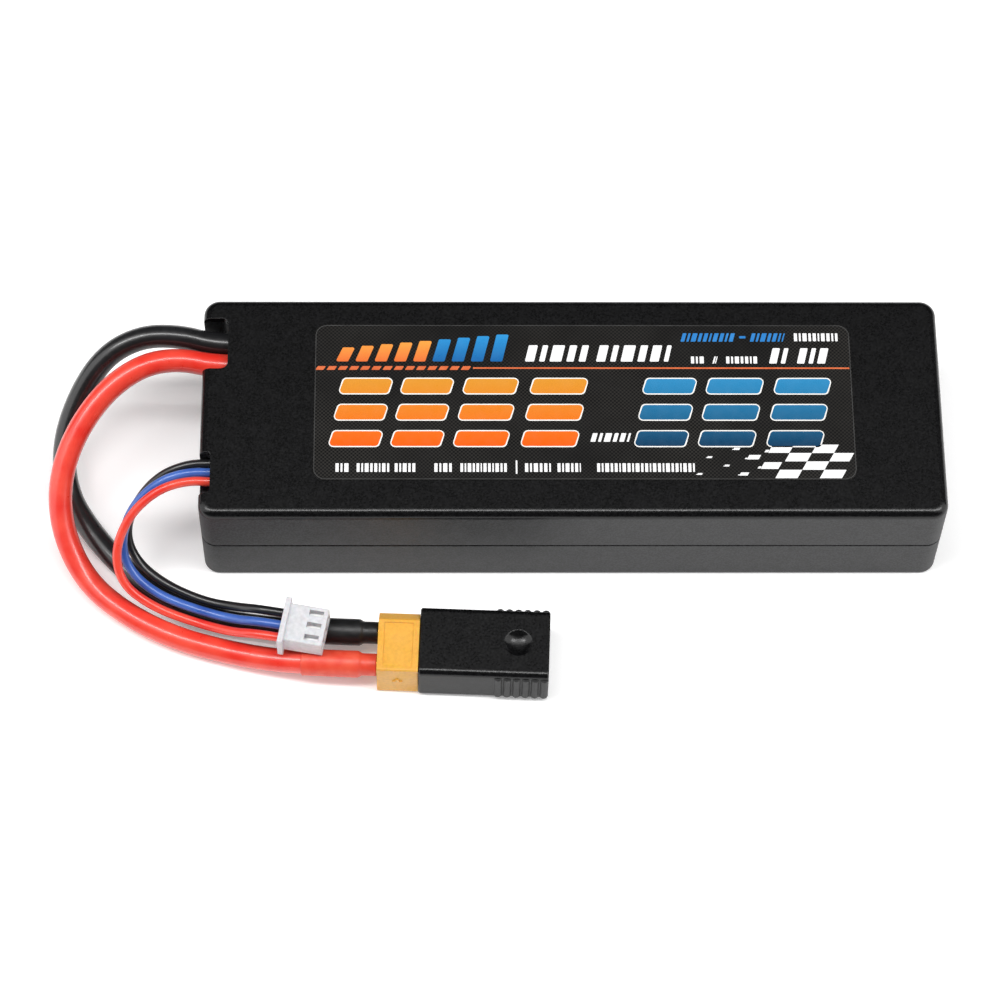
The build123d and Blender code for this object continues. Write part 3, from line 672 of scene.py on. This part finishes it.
def shrunk(name, color, light):
    """Heat shrink: satin skin with fine ripples round it."""
    make = Shading(name)
    base = make.mix(make.spread(make.noise(2.5 * MM, 4), 0, 1), color, light)
    rough = make.spread(make.noise(1.2 * MM, 4), 0.32, 0.52)
    ripples = make.noise(0.8 * MM, 3, (1, 0.35, 0.35))
    return make.finish(base, rough, make.bump(ripples, 0.05 * MM, 0.8), Specular_IOR_Level=0.5)


def metal(name, color, roughness):
    """Plated contact metal with fine drawn lines."""
    make = Shading(name)
    base = make.mix(make.spread(make.noise(1.5 * MM, 4), 0, 1), shade(color, 0.85), color)
    rough = make.spread(make.noise(0.5 * MM, 4), roughness - 0.08, roughness + 0.12)
    lines = make.noise(0.25 * MM, 2, (0.1, 1, 1))
    return make.finish(base, rough, make.bump(lines, 0.01 * MM, 0.5), Metallic=1.0)


def ink(name, low, high, from_y=None, to_y=None):
    """Printed ink, plain or graded from low to high across the label, with a faint print screen."""
    make = Shading(name)
    if from_y is None:
        grade = make.spread(make.noise(4 * MM, 3), 0, 1)
    else:
        parts = make.node("ShaderNodeSeparateXYZ")
        make.feed(make.place, parts.inputs[0])
        grade = make.ranged(parts.outputs["Y"], from_y, to_y, 0, 1)
    screen = make.spread(make.noise(0.2 * MM, 1), 0, 0.1)
    base = make.mix(screen, make.mix(grade, low, high), shade(high, 0.7))
    rough = make.spread(make.noise(2 * MM, 4), 0.25, 0.38)
    return make.finish(base, rough, make.bump(make.noise(0.5 * MM, 2), 0.004 * MM, 0.5))


WEAVE_CELL = 0.37 * MM


def woven_label():
    """Label film printed with a small dark weave whose threads vary slowly in tone."""
    make = Shading("label_film")
    cells = make.node("ShaderNodeTexChecker")
    make.feed(make.place, cells.inputs["Vector"])
    cells.inputs["Scale"].default_value = 1 / WEAVE_CELL
    cells.inputs["Color1"].default_value = (1, 1, 1, 1)
    cells.inputs["Color2"].default_value = (0, 0, 0, 1)
    dark = make.mix(make.spread(make.noise(8 * MM, 3), 0, 1), rgb(5, 5, 6), rgb(9, 9, 10))
    thread = make.mix(make.spread(make.noise(25 * MM, 2), 0, 1), rgb(30, 29, 28), rgb(48, 46, 43))
    base = make.mix(cells.outputs["Fac"], dark, thread)
    rough = make.spread(make.noise(5 * MM, 4), 0.3, 0.36)
    normal = make.bump(make.noise(0.6 * MM, 3), 0.004 * MM, 0.6)
    return make.finish(base, rough, normal, Specular_IOR_Level=0.35)


case_plastic = black_plastic("case_plastic", CASE_TOP, 1.6 * MM, 0.34 * MM, 0.012 * MM, 6.5, 0.4)
adapter_plastic = black_plastic("adapter_plastic", ADAPTER_TOP, 1.2 * MM, 0.42 * MM, 0.014 * MM, 1.5, 0.42)
amber = moulded("amber_nylon", rgb(222, 163, 63), 0.4, 0.4 * MM, 0.008 * MM, 0.12 * MM, 1.25, mottle=0.06,
                Subsurface_Weight=0.25, Subsurface_Scale=1.0 * MM)
white = moulded("white_nylon", rgb(206, 206, 209), 0.38, 0.5 * MM, 0.006 * MM, 0.2 * MM, 1.05, mottle=0.03,
                Subsurface_Weight=0.2, Subsurface_Scale=0.8 * MM)
gold = metal("gold_contact", rgb(224, 178, 92), 0.25)
tinned = metal("tinned_contact", rgb(214, 208, 192), 0.32)
# Painted light: a whiter copy of the tinned metal, for the balance contacts that sit in shade inside the
# plug's windows.
painted_lit_tin = metal("painted_lit_contact", rgb(250, 250, 250), 0.5)
silicones = {
    "silicone_black": silicone("silicone_black", rgb(20, 20, 21), rgb(30, 30, 32)),
    "silicone_red": silicone("silicone_red", rgb(228, 44, 32), rgb(242, 80, 62)),
    "silicone_blue": silicone("silicone_blue", rgb(44, 82, 166), rgb(72, 112, 194)),
}

for name, (_, slot) in LEAD_FACTS.items():
    leads[name].data.materials.append(silicones[slot])
shrinks["negative"].data.materials.append(shrunk("shrink_black", rgb(18, 18, 19), rgb(28, 28, 29)))
shrinks["positive"].data.materials.append(shrunk("shrink_red", rgb(222, 62, 42), rgb(232, 90, 66)))

BLOCK_FROM, BLOCK_TO = (edge * MM for edge in BLOCK_Y)
EMBLEM_FROM, EMBLEM_TO = 9.0 * MM, 15.0 * MM
ORANGE = (rgb(240, 90, 6), rgb(220, 148, 46))
BLUE = (rgb(6, 50, 82), rgb(46, 136, 187))
EMBLEM_ORANGE = (rgb(226, 104, 52), rgb(248, 172, 72))
EMBLEM_BLUE = (rgb(22, 92, 158), rgb(46, 146, 210))
white_ink = ink("white_ink", rgb(238, 238, 238), rgb(252, 252, 252))
PRINT_INKS = {
    "print_block_outlines": ink("outline_ink", rgb(238, 236, 230), rgb(250, 249, 246)),
    "print_orange_blocks": ink("orange_ink", *ORANGE, BLOCK_FROM, BLOCK_TO),
    "print_blue_blocks": ink("blue_ink", *BLUE, BLOCK_FROM, BLOCK_TO),
    "print_white_ticks": white_ink,
    "print_blue_ticks": ink("pale_blue_ink", rgb(40, 118, 190), rgb(52, 134, 205)),
    "print_emblem_orange": ink("emblem_orange_ink", *EMBLEM_ORANGE, EMBLEM_FROM, EMBLEM_TO),
    "print_emblem_blue": ink("emblem_blue_ink", *EMBLEM_BLUE, EMBLEM_FROM, EMBLEM_TO),
    "print_flag": white_ink,
    # Painted highlight: a grey ring standing in for the light that the label's cut edge catches.
    "print_edge_line": ink("edge_highlight_ink", rgb(52, 52, 52), rgb(78, 78, 78)),
    "print_stripe": ink("stripe_ink", rgb(206, 96, 52), rgb(226, 118, 72)),
}
for name, piece in prints.items():
    piece.data.materials.append(PRINT_INKS[name])

foam = moulded("foam", rgb(48, 48, 50), 0.85, 0.5 * MM, 0.1 * MM)
NODE_MATERIALS = {
    "top_shell": case_plastic,
    "bottom_shell": case_plastic,
    "label": woven_label(),
    "main_plug_housing": amber,
    "adapter_body": adapter_plastic,
    "balance_plug_housing": white,
    "tab_board": moulded("board_laminate", rgb(28, 96, 52), 0.4, 0.6 * MM, 0.01 * MM),
    "board_insulator": moulded("insulating_film", rgb(190, 120, 30), 0.3, 0.8 * MM, 0.005 * MM),
    "cell_tape": moulded("double_tape", rgb(224, 222, 212), 0.35, 0.8 * MM, 0.01 * MM),
}
pouch = moulded("pouch_foil", rgb(205, 207, 210), 0.4, 1.2 * MM, 0.03 * MM, Metallic=0.9)
for name, node in NODES.items():
    if name in NODE_MATERIALS:
        finish = NODE_MATERIALS[name]
    elif name.endswith("pad"):
        finish = foam
    elif name in ("cell_lower", "cell_upper"):
        finish = pouch
    elif name.startswith(("main_socket", "adapter_pin")):
        finish = gold
    elif name.startswith("balance_contact"):
        finish = painted_lit_tin
    else:
        finish = tinned
    node.data.materials.clear()
    node.data.materials.append(finish)

# ---- floor and light ----

FLOOR_HALF = 3.0
FLOOR_DROP = 0.03 * MM
FLOOR_GLOW = 0.22
WORLD_STRENGTH = 0.05
# Each light's place, width and height, and power; all of them face the origin
LIGHTS = {
    "overhead": ((0, -0.08, 1.1), (1.8, 0.2), 12.5),
    "left": ((-1.05, -0.1, 0.75), (1.0, 1.9), 9.5),
    "right": ((1.05, -0.1, 0.75), (1.0, 1.9), 9.5),
}

floor_mesh = bpy.data.meshes.new("floor")
corners = [(-FLOOR_HALF, -FLOOR_HALF, 0), (FLOOR_HALF, -FLOOR_HALF, 0),
           (FLOOR_HALF, FLOOR_HALF, 0), (-FLOOR_HALF, FLOOR_HALF, 0)]
floor_mesh.from_pydata(corners, [], [(0, 1, 2, 3)])
floor = link("floor", floor_mesh)
floor.location.z = -FLOOR_DROP
floor_mesh.materials.append(Shading("floor").finish(
    rgb(250, 250, 250), 0.6,
    Specular_IOR_Level=0.2, Emission_Color=(1, 1, 1, 1), Emission_Strength=FLOOR_GLOW,
))

world = bpy.data.worlds.new("studio")
world.use_nodes = True
background = world.node_tree.nodes["Background"]
background.inputs["Color"].default_value = (1, 1, 1, 1)
background.inputs["Strength"].default_value = WORLD_STRENGTH
bpy.context.scene.world = world

for name, (place, size, power) in LIGHTS.items():
    light = bpy.data.lights.new(name, "AREA")
    light.shape = "RECTANGLE"
    light.size, light.size_y = size
    light.energy = power
    lamp = link(name, light)
    lamp.location = place
    lamp.rotation_euler = (-Vector(place)).to_track_quat("-Z", "Y").to_euler()

bpy.context.scene.view_settings.view_transform = "Standard"

# ---- last update ----

bpy.context.view_layer.update()
